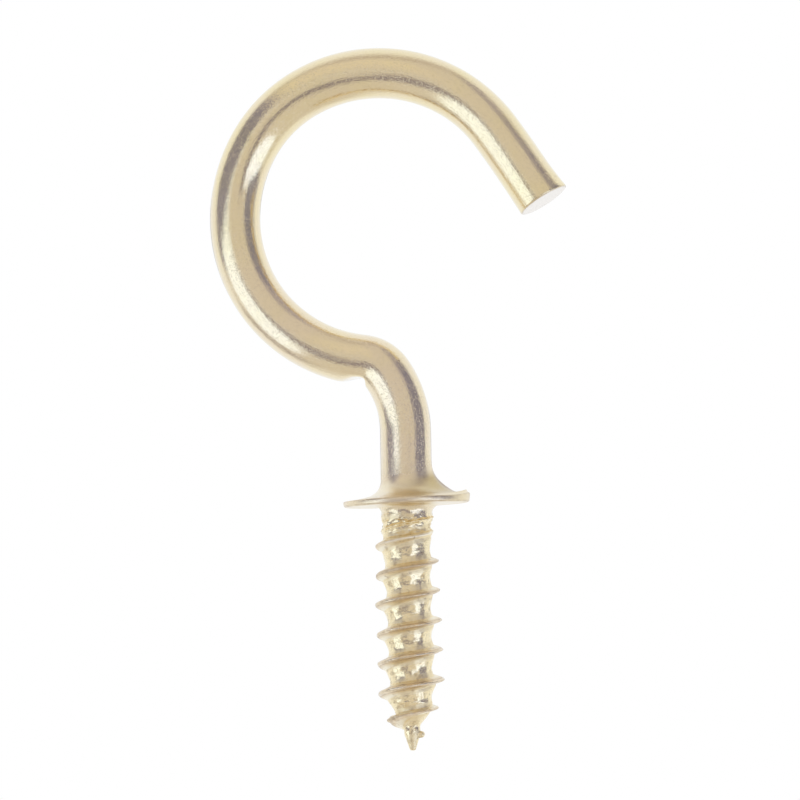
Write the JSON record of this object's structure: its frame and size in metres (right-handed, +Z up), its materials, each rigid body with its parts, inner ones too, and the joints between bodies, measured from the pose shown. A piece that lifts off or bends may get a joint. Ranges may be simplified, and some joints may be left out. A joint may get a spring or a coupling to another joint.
{
  "type": "cup hook",
  "caption": "Screw-in cup hook bent from one round wire: an open round hook, a thin round collar that seats on the wood, and a wood-screw thread with a gimlet point.",
  "frame": {"origin": "on the screw's axis, in the plane of the collar's underside, which seats on the wood", "axes": "+Z up the shank towards the hook, -Z down the screw, +X towards the hook's open mouth; the hook is bent in the XZ plane"},
  "size_m": [0.0199, 0.007, 0.039],
  "materials": {
    "brass_plate": "bright plated"
  },
  "bodies": {
    "root": {"cup_hook": "brass_plate"}
  },
  "joints": []
}
